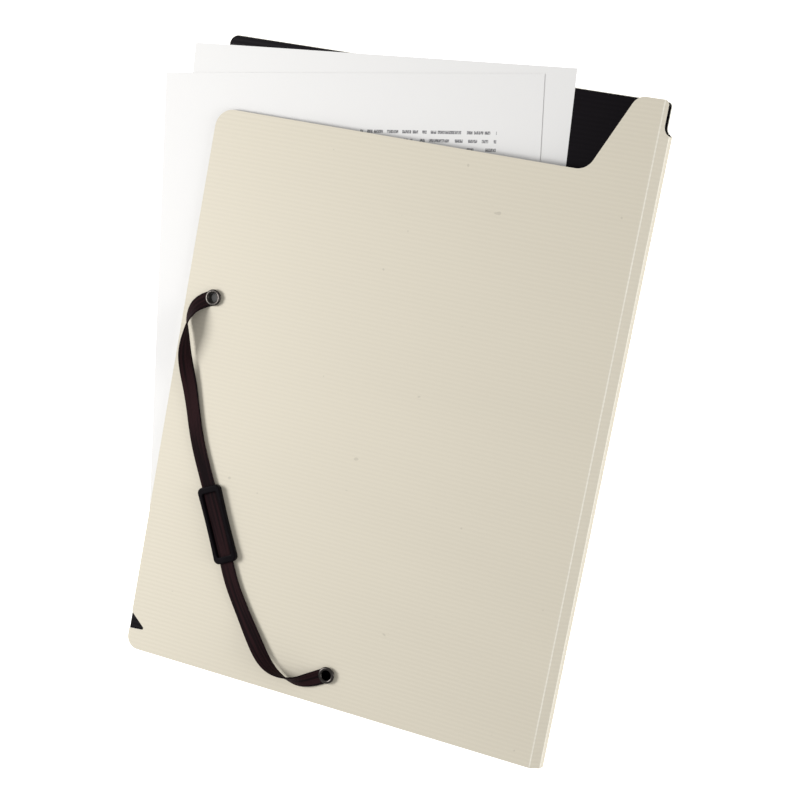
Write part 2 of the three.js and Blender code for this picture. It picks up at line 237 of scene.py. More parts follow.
def close():
    """Leaves edit mode."""
    bpy.ops.object.mode_set(mode="OBJECT")


def choose(piece, kind, test):
    """Selects, in edit mode, only the vertices, edges or faces that pass the test."""
    bpy.ops.mesh.select_mode(type=kind)
    bpy.ops.mesh.select_all(action="DESELECT")
    parts = bmesh.from_edit_mesh(piece.data)
    rows = {"VERT": parts.verts, "EDGE": parts.edges, "FACE": parts.faces}[kind]
    for part in rows:
        if test(part):
            part.select_set(True)
    parts.select_flush_mode()
    bmesh.update_edit_mesh(piece.data)


def modify(piece, kind, **settings):
    """Adds a modifier with these settings and applies it."""
    alone(piece)
    modifier = piece.modifiers.new(kind.title(), kind)
    for name, setting in settings.items():
        setattr(modifier, name, setting)
    bpy.ops.object.modifier_apply(modifier=modifier.name)


def named(name):
    """Names the active object and its mesh."""
    piece = bpy.context.object
    piece.name = name
    piece.data.name = name
    return piece


def node_copy(node, name):
    """A merged copy of a CAD node's mesh, with its flat faces whole."""
    mesh = frame["nodes"][node].data.copy()
    mesh.materials.clear()
    piece = bpy.data.objects.new(name, mesh)
    bpy.context.collection.objects.link(piece)
    edit(piece)
    bpy.ops.mesh.remove_doubles(threshold=0.001 * MM)
    bpy.ops.mesh.dissolve_limited(angle_limit=math.radians(0.4))
    close()
    return piece


def cut_off(piece, place, way):
    """Removes what lies beyond a place in a direction, and closes the cut."""
    edit(piece)
    bpy.ops.mesh.bisect(plane_co=place, plane_no=way, use_fill=True, clear_outer=True)
    close()


def mesh_piece(name, points, edges, faces):
    """A new piece from points and the edges or faces between them."""
    mesh = bpy.data.meshes.new(name)
    mesh.from_pydata(points, edges, faces)
    mesh.update()
    piece = bpy.data.objects.new(name, mesh)
    bpy.context.collection.objects.link(piece)
    return piece


def finish_piece(piece, body, node=None):
    """Seats a piece on its body and hides the node that it stands for."""
    if body:
        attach(piece, body)
    if node:
        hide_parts(node)


# Shader expressions


class Value:
    """A number that changes over a surface. Arithmetic on it adds Math nodes."""

    def __init__(self, finish, socket):
        self.finish = finish
        self.socket = socket

    def math(self, operation, *values):
        sockets = dict(enumerate(values))
        node = self.finish.node("Math", {"operation": operation}, sockets)
        return Value(self.finish, node.outputs[0])

    def __add__(self, other):
        return self.math("ADD", self, other)

    def __radd__(self, other):
        return self.math("ADD", other, self)

    def __sub__(self, other):
        return self.math("SUBTRACT", self, other)

    def __rsub__(self, other):
        return self.math("SUBTRACT", other, self)

    def __mul__(self, other):
        return self.math("MULTIPLY", self, other)

    def __rmul__(self, other):
        return self.math("MULTIPLY", other, self)

    def __truediv__(self, other):
        return self.math("DIVIDE", self, other)

    def __gt__(self, other):
        return self.math("GREATER_THAN", self, other)

    def __lt__(self, other):
        return self.math("LESS_THAN", self, other)

    def cosine(self):
        return self.math("COSINE", self)

    def fraction(self):
        return self.math("FRACT", self)

    def whole(self):
        return self.math("FLOOR", self)

    def size(self):
        return self.math("ABSOLUTE", self)

    def ramp(self, low, high):
        """0 below the low value, 1 above the high one, smooth between."""
        node = self.finish.node(
            "MapRange",
            {"interpolation_type": "SMOOTHSTEP"},
            {"Value": self, "From Min": low, "From Max": high},
        )
        return Value(self.finish, node.outputs["Result"])


class Finish:
    """A material and the nodes that make it."""

    def __init__(self, name):
        self.material = bpy.data.materials.new(name)
        self.material.use_nodes = True
        self.tree = self.material.node_tree
        self.tree.nodes.clear()

    def node(self, kind, settings, sockets):
        """Adds a node, sets it up, then gives its sockets their values or links."""
        node = self.tree.nodes.new("ShaderNode" + kind)
        for name, setting in settings.items():
            setattr(node, name, setting)
        for key, source in sockets.items():
            socket = node.inputs[key]
            if isinstance(source, Value):
                source = source.socket
            if isinstance(source, bpy.types.NodeSocket):
                self.tree.links.new(source, socket)
            elif socket.type == "RGBA" and len(source) == 3:
                socket.default_value = (*source, 1.0)
            else:
                socket.default_value = source
        return node

    def place(self):
        """The point on the piece, in metres."""
        return self.node("TexCoord", {}, {}).outputs["Object"]

    def strap_place(self):
        """The point along and round the band, in metres."""
        return self.node("UVMap", {"uv_map": "strap"}, {}).outputs["UV"]

    def axes(self, vector):
        """A vector's three numbers."""
        node = self.node("SeparateXYZ", {}, {0: vector})
        return [Value(self, socket) for socket in node.outputs]

    def noise(self, vector, scale, detail=2.0, roughness=0.5):
        """Cloudy noise from 0 to 1."""
        sockets = {"Vector": vector, "Scale": scale, "Detail": detail, "Roughness": roughness}
        node = self.node("TexNoise", {}, sockets)
        return Value(self, node.outputs[0])

    def scaled(self, vector, factors):
        """A vector stretched by a factor on each axis."""
        node = self.node("VectorMath", {"operation": "MULTIPLY"}, {0: vector, 1: factors})
        return node.outputs[0]

    def mix(self, share, first, second):
        """One colour going over into another."""
        node = self.node("Mix", {"data_type": "RGBA"}, {0: share, 6: first, 7: second})
        return node.outputs[2]

    def bump(self, height, distance):
        """A normal from a height between 0 and 1 that stands for this distance."""
        node = self.node("Bump", {}, {"Distance": distance, "Height": height})
        return node.outputs["Normal"]

    def surface(self, **sockets):
        """Ends the material in one shader: words of a socket's name are joined by _."""
        named_sockets = {name.replace("_", " "): source for name, source in sockets.items()}
        shader = self.node("BsdfPrincipled", {}, named_sockets)
        self.node("OutputMaterial", {}, {"Surface": shader.outputs[0]})
        return self.material


def ribs(finish, settings):
    """The sheet's fine ribs and its grain, as a height from 0 to 1, and the rib wave alone, which
    the finishes also use to paint light and shade onto the ribs.
    """
    place = finish.place()
    y = finish.axes(place)[1]
    wander = finish.noise(place, 30.0) - 0.5
    wave = ((y + wander * 0.3 * MM) * (2 * math.pi / settings.rib_pitch)).cosine() * 0.5 + 0.5
    grain = finish.noise(place, 2600.0, 3.0)
    return wave * 0.82 + grain * 0.18, wave, place


def cream_finish(settings):
    finish = Finish("cream_sheet")
    height, wave, place = ribs(finish, settings)
    cloud = finish.noise(finish.scaled(place, (6.0, 22.0, 6.0)), 1.0, 3.0)
    dark = [part * 0.93 for part in settings.cream]
    light = [min(1.0, part * 1.035) for part in settings.cream]
    # The cloud is random tone; the rib wave paints the rib crests lighter and the valleys darker:
    # painted highlight and painted shade on the ribs.
    tone = finish.mix(cloud * 0.45 + wave * 0.3, dark, light)
    speck = finish.noise(place, 230.0, 0.0).ramp(0.87, 0.9)
    return finish.surface(
        Base_Color=finish.mix(speck * 0.35, tone, [part * 0.55 for part in settings.cream]),
        Roughness=0.5 + cloud * 0.12,
        Specular_IOR_Level=0.32,
        Normal=finish.bump(height, settings.rib_height),
    )


def black_finish(settings):
    finish = Finish("black_sheet")
    height, wave, place = ribs(finish, settings)
    scuff = finish.noise(finish.scaled(place, (30.0, 240.0, 30.0)), 1.0, 4.0).ramp(0.56, 0.85)
    light = [min(1.0, part * 2.6 + 0.002) for part in settings.black]
    return finish.surface(
        # Scuffs are random wear; the rib wave paints a highlight on the rib crests and shade in the
        # valleys.
        Base_Color=finish.mix(scuff * 0.5 + wave * 0.12, settings.black[:], light),
        Roughness=0.46 + scuff * 0.2,
        Specular_IOR_Level=0.11,
        Normal=finish.bump(height, settings.rib_height),
    )


def cut_finish(settings):
    finish = Finish("cut_edge")
    place = finish.place()
    drag = finish.noise(finish.scaled(place, (900.0, 900.0, 3500.0)), 1.0, 2.0)
    dull = [part * 0.86 for part in settings.cut]
    return finish.surface(
        Base_Color=finish.mix(drag, dull, settings.cut[:]),
        Roughness=0.42 + drag * 0.2,
        Specular_IOR_Level=0.4,
        Normal=finish.bump(drag, 0.01 * MM),
    )


def fold_finish(settings):
    finish = Finish("score_line")
    height, wave, place = ribs(finish, settings)
    patch = finish.noise(finish.scaled(place, (300.0, 60.0, 300.0)), 1.0, 2.0)
    worn = [0.75 * a + 0.25 * b for a, b in zip(settings.cream, settings.cut)]
    return finish.surface(
        # The patches are random tone; the rib wave paints the rib crests lighter and the valleys
        # darker: painted highlight and painted shade.
        Base_Color=finish.mix(patch * 0.4 + wave * 0.2, worn, settings.cut[:]),
        Roughness=0.45 + patch * 0.15,
        Specular_IOR_Level=0.4,
        Normal=finish.bump(height, settings.rib_height),
    )


# Places of the sheet's finishes on a piece
CREAM, BLACK, CUT, FOLD = range(4)


def sheet_finishes(settings):
    """The folder sheet's four surfaces: outside, inside, cut edge and crease."""
    found = bpy.data.materials
    if "cream_sheet" not in found:
        cream_finish(settings)
        black_finish(settings)
        cut_finish(settings)
        fold_finish(settings)
    return [found[name] for name in ("cream_sheet", "black_sheet", "cut_edge", "score_line")]


def paint_sheet(piece, outwards, settings):
    """Cream where a face looks outwards, black where it looks inwards, cut plastic between."""
    for finish in sheet_finishes(settings)[:FOLD]:
        piece.data.materials.append(finish)
    for face in piece.data.polygons:
        turn = face.normal.dot(outwards)
        face.material_index = CREAM if turn > 0.95 else BLACK if turn < -0.95 else CUT


def outward_of(way):
    """The outward direction of a panel that runs this way from its crease."""
    return Vector((way.z, 0.0, -way.x))


class FOLDER_OT_covers(bpy.types.Operator):
    """Make the two covers and the two narrow panels of the spine"""

    bl_idname = "folder.covers"
    bl_label = "Covers and spine"

    def execute(self, context):
        settings = context.scene.folder_sheet
        trim = 0.9 * MM
        rear, middle, front = (CREASES[end + "_crease"] for end in ("rear", "middle", "front"))
        back_way = Vector((-1.0, 0.0, 0.0))
        panels = [
            ("back_cover", "cover_back", "back", [(rear, back_way)], back_way * -1.0),
            (
                "spine_rear_panel",
                "spine_rear",
                "rear_panel",
                [(rear, REAR_PANEL_WAY), (middle, -REAR_PANEL_WAY)],
                REAR_PANEL_WAY,
            ),
            (
                "spine_front_panel",
                "spine_front",
                "front_panel",
                [(middle, FRONT_PANEL_WAY), (front, -FRONT_PANEL_WAY)],
                FRONT_PANEL_WAY,
            ),
            ("front_cover", "cover_front", "front", [(front, FRONT_WAY)], FRONT_WAY),
        ]
        for node, name, body, cuts, way in panels:
            piece = node_copy(node, name)
            for crease, inwards in cuts:
                cut_off(piece, crease + inwards * trim, -inwards)
            modify(
                piece,
                "BEVEL",
                width=settings.edge_round,
                segments=2,
                limit_method="ANGLE",
                angle_limit=math.radians(40),
            )
            paint_sheet(piece, outward_of(way), settings)
            finish_piece(piece, body, node)
        return {"FINISHED"}


def notch_edge(across):
    """Height of the sheet's top edge at a place across it, measured from the middle crease."""
    off = abs(across - NOTCH_MIDDLE)
    if off <= NOTCH_HALF:
        return COVER_HEIGHT - NOTCH_DEPTH + NOTCH_HALF - math.sqrt(NOTCH_HALF**2 - off**2)
    if off < NOTCH_HALF + NOTCH_MOUTH_R:
        side = NOTCH_HALF + NOTCH_MOUTH_R - off
        return COVER_HEIGHT - NOTCH_MOUTH_R + math.sqrt(NOTCH_MOUTH_R**2 - side**2)
    return COVER_HEIGHT


# How much thicker than the sheet a crease's strip is, and how much its ends thin out
STRIP_EXTRA = 0.06 * MM
STRIP_END = 0.9

# What counts as lying on a line
NEAR = 0.01 * MM


def crease_strip(name, crease, before, after, across, settings):
    """A folded strip over one crease, drawn flat, folded up towards Z, then put in place."""
    reach = settings.crease_reach
    fold = before.angle(after)
    alongside = Vector((math.cos(fold), 0.0, math.sin(fold)))
    bpy.ops.object.select_all(action="DESELECT")
    bpy.ops.mesh.primitive_plane_add(size=1.0, location=(0.0, 0.0, 0.0))
    piece = named(name)
    edit(piece)
    bpy.ops.transform.resize(value=(reach, COVER_HEIGHT, 1.0))
    bpy.ops.transform.translate(value=(-reach / 2, COVER_HEIGHT / 2, 0.0))
    bpy.ops.mesh.flip_normals()
    choose(piece, "EDGE", lambda edge: all(abs(v.co.x) < NEAR for v in edge.verts))
    bpy.ops.mesh.extrude_region_move(TRANSFORM_OT_translate={"value": alongside * reach})
    choose(
        piece,
        "EDGE",
        lambda edge: all(abs(v.co.x) < NEAR and abs(v.co.z) < NEAR for v in edge.verts),
    )
    offset = settings.crease_radius * math.tan(fold / 2)
    bpy.ops.mesh.bevel(offset=offset, offset_type="OFFSET", segments=6, affect="EDGES")
    choose(piece, "FACE", lambda face: True)
    bpy.ops.mesh.normals_make_consistent(inside=False)
    close()
    for vertex in piece.data.vertices:
        if vertex.co.y > COVER_HEIGHT / 2:
            on_first = -vertex.co.x
            on_second = vertex.co.dot(alongside)
            place = -on_first if on_first > on_second else on_second
            vertex.co.y = notch_edge(across + place)
    lower = min(piece.data.polygons, key=lambda face: face.center.x)
    if lower.normal.z > 0:
        edit(piece)
        bpy.ops.mesh.flip_normals()
        close()
    for finish in sheet_finishes(settings):
        piece.data.materials.append(finish)
    for face in piece.data.polygons:
        is_flat = face.area > 0.25 * reach * COVER_HEIGHT
        face.material_index = CREAM if is_flat or name == "crease_rear" else FOLD
    modify(
        piece,
        "SOLIDIFY",
        thickness=2 * SHEET_HALF_T + STRIP_EXTRA,
        offset=0.0,
        use_even_offset=True,
        use_quality_normals=True,
    )
    centre_ways = [Vector((-1.0, 0.0, 0.0)), alongside]
    for vertex in piece.data.vertices:
        for way in centre_ways:
            run = vertex.co.x * way.x + vertex.co.z * way.z
            if run > reach * STRIP_END:
                middle = Vector((way.x * run, vertex.co.y, way.z * run))
                vertex.co = middle + (vertex.co - middle) * STRIP_END
    for face in piece.data.polygons:
        centre = face.center
        way = centre_ways[0] if -centre.x > centre.dot(alongside) else alongside
        if way is alongside:
            inwards = Vector((-way.z, 0.0, way.x))
        else:
            inwards = Vector((0.0, 0.0, 1.0))
        turn = face.normal.dot(inwards)
        if abs(face.normal.y) > 0.5 or abs(face.normal.dot(way)) > 0.95:
            face.material_index = CUT
        elif turn > 0.2:
            face.material_index = BLACK
    x_axis = before
    z_axis = Vector((-before.z, 0.0, before.x))
    turn = Matrix((x_axis, Vector((0.0, 1.0, 0.0)), z_axis)).transposed().to_4x4()
    piece.data.transform(Matrix.Translation((crease.x, FOOT, crease.z)) @ turn)
    alone(piece)
    bpy.ops.object.shade_smooth_by_angle(angle=math.radians(35))
    return piece


class FOLDER_OT_creases(bpy.types.Operator):
    """Make the three folded creases between the panels"""

    bl_idname = "folder.creases"
    bl_label = "Creases"

    def execute(self, context):
        settings = context.scene.folder_sheet
        back_way = Vector((1.0, 0.0, 0.0))
        ways = (back_way, REAR_PANEL_WAY, FRONT_PANEL_WAY, FRONT_WAY)
        places = (-REAR_PANEL_WIDTH, 0.0, FRONT_PANEL_WIDTH)
        turn_reach = 0.75 * MM
        for i, end in enumerate(("rear", "middle", "front")):
            crease = CREASES[end + "_crease"]
            before, after = ways[i : i + 2]
            piece = crease_strip("crease_" + end, crease, before, after, places[i], settings)
            start = crease - before * turn_reach
            crease + after * turn_reach
            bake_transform(piece)
        return {"FINISHED"}


# Places on the front cover, in millimetres from its free edge and its foot
UPPER_EYELET = (17.0, 200.3)
LOWER_EYELET = (120.0, 17.0)
SLIDER_PLACE = (43.0, 80.8)
SLIDER_WAY = math.radians(-64.0)

# The ends of the band's straight stretch, in millimetres from the slider's place
RUN_START = -47.0
RUN_END = 34.0

# How high the band's middle rises in a twist, as a share of its half width
TWIST_LIFT = 1.2

# Radius of the hole in the band and in a washer, which takes an eyelet's barrel
BARREL_HOLE_R = 3.2 * MM


def on_run(distance):
    """A place on the band's straight stretch."""
    return (
        SLIDER_PLACE[0] + distance * math.cos(SLIDER_WAY),
        SLIDER_PLACE[1] + distance * math.sin(SLIDER_WAY),
    )


def band_route():
    """Points that the middle of the band passes, from the upper eyelet to the lower one."""
    from_upper = [(-5, -2.4), (-8.9, -6.3), (-10.8, -13)]
    from_upper += [(-10.3, -21), (-8.9, -33.5), (-3.4, -51.5)]
    from_lower = [(-45.4, 10.2), (-33.3, -2), (-24.6, -6), (-15.2, -6.8), (-7.6, -4.2)]
    return [
        UPPER_EYELET,
        *[(UPPER_EYELET[0] + x, UPPER_EYELET[1] + y) for x, y in from_upper],
        *[on_run(distance) for distance in (RUN_START, RUN_START / 3, RUN_END / 3, RUN_END)],
        *[(LOWER_EYELET[0] + x, LOWER_EYELET[1] + y) for x, y in from_lower],
        LOWER_EYELET,
    ]


def smooth_line(points, samples=40):
    """A centripetal curve through points, sampled closely."""
    points = [Vector(p) for p in points]
    points = [2 * points[0] - points[1], *points, 2 * points[-1] - points[-2]]
    line = []
    for i in range(1, len(points) - 2):
        p = points[i - 1 : i + 3]
        t = [0.0]
        for a, b in zip(p, p[1:]):
            t.append(t[-1] + (b - a).length ** 0.5)
        for k in range(samples):
            s = t[1] + (t[2] - t[1]) * k / samples
            a = [
                ((t[j + 1] - s) * p[j] + (s - t[j]) * p[j + 1]) / (t[j + 1] - t[j])
                for j in range(3)
            ]
            b = [
                ((t[j + 2] - s) * a[j] + (s - t[j]) * a[j + 1]) / (t[j + 2] - t[j])
                for j in range(2)
            ]
            line.append(((t[2] - s) * b[0] + (s - t[1]) * b[1]) / (t[2] - t[1]))
    line.append(points[-2])
    return line


def place_along(line, distances):
    """Places at these distances along a sampled line, which runs on straight past its ends."""
    runs = [0.0]
    for a, b in zip(line, line[1:]):
        runs.append(runs[-1] + (b - a).length)
    places, i = [], 0
    for distance in distances:
        while i < len(runs) - 2 and runs[i + 1] < distance:
            i += 1
        share = (distance - runs[i]) / (runs[i + 1] - runs[i])
        if share <= 1:
            places.append(line[i].lerp(line[i + 1], share))
        else:
            places.append(line[i] + (line[i + 1] - line[i]) * share)
    return places


def twist_at(distance, shape):
    """How far the band has turned at a distance from its nearer eyelet."""
    start = shape.flange / MM + 0.25
    share = min(1.0, max(0.0, (distance - start) / (shape.twist / MM - start)))
    eased = share**0.65
    return math.pi * eased * eased * (3 - 2 * eased)


def band_finish(settings):
    finish = Finish("elastic_knit")
    place = finish.strap_place()
    across, along, _ = finish.axes(place)
    cord_pitch = 0.78 * MM
    loop_pitch = 0.62 * MM
    cord = (across * (2 * math.pi / cord_pitch)).cosine() * 0.5 + 0.5
    slant = (across * (1 / cord_pitch)).fraction() - 0.5
    loop = ((along + slant.size() * 0.5 * MM) * (2 * math.pi / loop_pitch)).cosine() * 0.5 + 0.5
    fuzz = finish.noise(finish.scaled(place, (3000.0, 600.0, 1.0)), 1.0, 3.0)
    streak = finish.noise(finish.scaled(place, (820.0, 22.0, 1.0)), 1.0, 2.0)
    height = cord * 0.6 + loop * 0.25 + fuzz * 0.15
    # The cord wave paints shade into the grooves between the cords; the streaks are random tone.
    dark = settings.groove[:]
    tone = finish.mix(cord * 0.3 + streak.ramp(0.38, 0.62) * 0.7, dark, settings.yarn[:])
    lint = finish.noise(finish.scaled(place, (5200.0, 900.0, 1.0)), 1.0, 1.0).ramp(0.66, 0.8)
    return finish.surface(
        Base_Color=finish.mix(lint * 0.3, tone, [part * 3.2 for part in settings.yarn]),
        Roughness=0.72 + fuzz * 0.2,
        Specular_IOR_Level=0.1,
        Normal=finish.bump(height, 0.09 * MM),
    )


class BandShape:
    """Sizes that the band's twist needs."""

    def __init__(self, settings, metal):
        self.width = settings.width
        self.thickness = settings.thickness
        self.twist = settings.twist_length
        self.flange = metal.flange_radius


def strap_section(shape, steps=5):
    """The strap's cross section as offsets across and over."""
    half = shape.width / 2
    thick = shape.thickness / 2
    soft = thick * 0.82
    offsets = []
    for corner, (sx, sy) in enumerate(((1, 1), (-1, 1), (-1, -1), (1, -1))):
        for k in range(steps):
            turn = math.radians(90 * corner + 90 * k / (steps - 1))
            x = sx * (half - soft) + soft * math.cos(turn)
            y = sy * (thick - soft) + soft * math.sin(turn)
            offsets.append((x, y))
        if corner in (0, 2):
            for share in (0.2, 0.4, 0.6, 0.8):
                offsets.append((sx * (half - soft) * (1 - 2 * share), sy * thick))
    return offsets


class FOLDER_OT_band(bpy.types.Operator):
    """Make the flat elastic band with a half twist near each end"""

    bl_idname = "folder.band"
    bl_label = "Elastic band"

    def execute(self, context):
        settings = context.scene.folder_band
        metal = context.scene.folder_metal
        shape = BandShape(settings, metal)
        line = smooth_line(band_route())
        total = sum((b - a).length for a, b in zip(line, line[1:]))
        half = shape.width / MM / 2
        ends = [-half * math.cos(math.radians(turn)) for turn in range(6, 79, 12)]
        inner = [total * i / settings.steps for i in range(settings.steps + 1)]
        runs = [*ends, *inner, *[total - distance for distance in reversed(ends)]]
        places = place_along(line, runs)
        rests = []
        for distance, place in zip(runs, places):
            turn = twist_at(min(distance, total - distance), shape)
            ride = (BAND_RIDE - BAND_REST) / MM * turn / math.pi
            height = BAND_REST / MM + ride + math.sin(turn) * half * TWIST_LIFT
            rests.append((Vector((place.x, place.y, height)), turn))
        section = [(x / MM, y / MM) for x, y in strap_section(shape)]
        count = len(section)
        girth = [0.0]
        for a, b in zip(section, section[1:] + section[:1]):
            girth.append(girth[-1] + math.dist(a, b))
        points = []
        for i, (middle, turn) in enumerate(rests):
            ahead = rests[min(i + 1, len(rests) - 1)][0]
            behind = rests[max(i - 1, 0)][0]
            along = (ahead - behind).normalized()
            across = Vector((0.0, 0.0, 1.0)).cross(along).normalized()
            over = along.cross(across).normalized()
            beyond = max(0.0, -runs[i], runs[i] - total)
            narrow = math.sqrt(max(0.0, 1 - (beyond / half) ** 2))
            for w, t in section:
                w *= narrow
                cos, sin = math.cos(turn), math.sin(turn)
                point = middle + across * (w * cos - t * sin) + over * (w * sin + t * cos)
                points.append(FACE @ (point * MM))
        faces = []
        for r in range(len(rests) - 1):
            for s in range(count):
                a, b = r * count + s, r * count + (s + 1) % count
                faces.append((a, b, b + count, a + count))
        last = (len(rests) - 1) * count
        faces.append(tuple(reversed(range(count))))
        faces.append(tuple(range(last, last + count)))
        piece = mesh_piece("band", points, [], faces)
        layer = piece.data.uv_layers.new(name="strap")
        lead = 10.0
        for face in piece.data.polygons:
            corners = [divmod(vertex, count) for vertex in face.vertices]
            closes = len(corners) == 4 and any(s == count - 1 for _, s in corners)
            for loop, (r, s) in zip(face.loop_indices, corners):
                run_round = girth[-1] if closes and s == 0 else girth[s]
                layer.data[loop].uv = (run_round * MM, (runs[r] + lead) * MM)
        edit(piece)
        bpy.ops.mesh.normals_make_consistent(inside=False)
        close()
        for place in (UPPER_EYELET, LOWER_EYELET):
            bpy.ops.object.select_all(action="DESELECT")
            bpy.ops.mesh.primitive_cylinder_add(
                vertices=48, radius=BARREL_HOLE_R, depth=4 * MM, location=(0, 0, 0)
            )
            cutter = named("band_hole")
            middle = Matrix.Translation((place[0] * MM, place[1] * MM, BAND_REST))
            cutter.data.transform(FACE @ middle)
            modify(piece, "BOOLEAN", object=cutter, operation="DIFFERENCE", solver="EXACT")
            bpy.data.objects.remove(cutter)
        alone(piece)
        bpy.ops.object.shade_smooth_by_angle(angle=math.radians(40))
        piece.data.materials.clear()
        piece.data.materials.append(band_finish(settings))
        for face in piece.data.polygons:
            face.material_index = 0
        finish_piece(piece, "front", "elastic_band")
        return {"FINISHED"}


def metal_finish(settings):
    finish = Finish("gunmetal")
    place = finish.place()
    tarnish = finish.noise(place, 700.0, 4.0)
    scratch = finish.noise(place, 1500.0, 2.0)
    worn = tarnish.ramp(0.5, 0.75) * 0.35
    return finish.surface(
        Base_Color=finish.mix(worn, settings.plating[:], [part * 2.4 for part in settings.plating]),
        Metallic=1.0,
        Roughness=0.22 + tarnish * 0.14,
        Normal=finish.bump(scratch, 0.006 * MM),
    )


def arc(centre, radii, start, end, steps):
    """Points on part of an ellipse, by its angles in degrees."""
    turns = [math.radians(start + (end - start) * k / steps) for k in range(steps + 1)]
    return [(centre[0] + radii[0] * math.cos(t), centre[1] + radii[1] * math.sin(t)) for t in turns]


def spun(name, profile, place, settings):
    """A ring from a closed profile of radius and height, seated on the front cover."""
    points = [(r, 0.0, z) for r, z in profile]
    edges = [(i, (i + 1) % len(points)) for i in range(len(points))]
    piece = mesh_piece(name, points, edges, [])
    edit(piece)
    bpy.ops.mesh.spin(steps=settings.turns, angle=2 * math.pi, center=(0, 0, 0), axis=(0, 0, 1))
    bpy.ops.mesh.select_all(action="SELECT")
    bpy.ops.mesh.remove_doubles(threshold=0.002 * MM)
    bpy.ops.mesh.normals_make_consistent(inside=False)
    close()
    piece.data.transform(FACE @ Matrix.Translation((place[0] * MM, place[1] * MM, 0.0)))
    alone(piece)
    bpy.ops.object.shade_smooth_by_angle(angle=math.radians(40))
    return piece


class FOLDER_OT_eyelets(bpy.types.Operator):
    """Make the two hollow eyelets and the washers behind them"""

    bl_idname = "folder.eyelets"
    bl_label = "Eyelets"

    def execute(self, context):
        settings = context.scene.folder_metal
        hole = settings.hole_radius
        rim = settings.flange_radius
        wall = hole + 0.3 * MM
        foot = FLANGE_FOOT
        top = foot + settings.crown_height
        crest = wall + 0.42 * (rim - wall)
        roll_top = -1.2 * MM
        roll_foot = -1.6 * MM
        lip = 0.16 * MM
        bend = 0.3 * MM
        roll = 0.2 * MM
        roll_reach = 3.7 * MM
        crown = [
            *arc((rim - lip, foot + lip), (lip, lip), -90, 0, 4),
            *arc((crest, foot + bend), (rim - crest, top - foot - bend), 12, 90, 9),
            *arc((crest, foot + bend), (crest - hole, top - foot - bend), 96, 180, 9),
        ]
        barrel_foot = [
            *arc((wall, roll_foot + bend), (bend, bend), 180, 270, 5),
            *arc((roll_reach, roll_foot + roll), (roll, roll), -90, 90, 7),
            (wall, roll_top),
            (wall, foot),
        ]
        metal = metal_finish(settings)
        washer_foot = -0.95 * MM
        washer_top = -0.65 * MM
        edge = 0.1 * MM
        outer = settings.washer_radius
        washer = [
            (BARREL_HOLE_R, washer_foot),
            *arc((outer - edge, washer_foot + edge), (edge, edge), -90, 0, 3),
            *arc((outer - edge, washer_top - edge), (edge, edge), 0, 90, 3),
            (BARREL_HOLE_R, washer_top),
        ]
        for where, place in (("upper", UPPER_EYELET), ("lower", LOWER_EYELET)):
            piece = spun("eyelet_" + where, crown + barrel_foot, place, settings)
            piece.data.materials.append(metal)
            finish_piece(piece, "front", where + "_eyelet")
            piece = spun("washer_" + where, washer, place, settings)
            piece.data.materials.append(metal)
            finish_piece(piece, "front", where + "_eyelet_washer")
        return {"FINISHED"}


def slider_finish(settings):
    finish = Finish("moulded_black")
    place = finish.place()
    grain = finish.noise(place, 5200.0, 3.0)
    rub = finish.noise(finish.scaled(place, (130.0, 130.0, 420.0)), 1.0, 4.0).ramp(0.5, 0.8)
    worn = [part * 2.2 for part in settings.plastic]
    return finish.surface(
        Base_Color=finish.mix(rub * 0.6, settings.plastic[:], worn),
        Roughness=0.34 + rub * 0.15,
        Specular_IOR_Level=0.03,
        Normal=finish.bump(grain, 0.012 * MM),
    )


class FOLDER_OT_slider(bpy.types.Operator):
    """Make the moulded slider on the band"""

    bl_idname = "folder.slider"
    bl_label = "Slider"

    def execute(self, context):
        settings = context.scene.folder_slider
        piece = node_copy("band_slider", "slider_moulding")
        modify(piece, "REMESH", mode="VOXEL", voxel_size=settings.grain)
        modify(piece, "SMOOTH", factor=0.5, iterations=4)
        alone(piece)
        bpy.ops.object.shade_smooth()
        piece.data.materials.append(slider_finish(settings))
        finish_piece(piece, "slider", "band_slider")
        return {"FINISHED"}


# Each sheet's top right corner in the frame, its turn, and the height of its middle plane
REAR_SHEET = ((189.6 - 121.25) * MM, (170 + 9.3) * MM, math.radians(4.6), 0.9 * MM)
FRONT_SHEET = ((173.8 - 121.25) * MM, (170 + 4.2) * MM, math.radians(8.2), 1.09 * MM)

# The block of printed lines, measured from the front sheet's top right corner
PRINT = {
    "top": 28.5 * MM,
    "pitch": 4.3 * MM,
    "rows": 48.0,
    "right": 23.2 * MM,
    "left": 96.6 * MM,
}

# How far in the front sheet's edge lifts, and how much its middle ripples
CURL_WIDTH = 14 * MM
RIPPLE = 0.035 * MM


def print_ink(finish, place, where):
    """Rows of plain dashes on a sheet, as a share of ink."""
    turn = Matrix.Rotation(-where[2], 4, "Z")
    move = -(turn @ Vector((where[0], where[1], 0.0)))
    sockets = {"Vector": place, "Location": move, "Rotation": (0.0, 0.0, -where[2])}
    right, up, _ = finish.axes(finish.node("Mapping", {}, sockets).outputs[0])
    left = 0.0 - right
    down = 0.0 - up
    row = (down - PRINT["top"]) / PRINT["pitch"]
    inside = (left > PRINT["right"]) * (left < PRINT["left"]) * (row > 0.0) * (row < PRINT["rows"])
    line = (row.fraction() < 0.5) * (row.fraction() > 0.12)
    gap = ((row.whole() + 1.5) / 9.0).fraction() > 0.12
    cells = finish.node("CombineXYZ", {}, {0: left * 260.0, 1: row.whole() * 7.3})
    words = finish.noise(cells.outputs[0], 1.0, 0.0) > 0.44
    strokes = finish.scaled(place, (2200.0, 900.0, 1.0))
    letters = finish.noise(strokes, 1.0, 0.0).ramp(0.3, 0.6)
    return inside * line * gap * words * (0.3 + letters * 0.6)


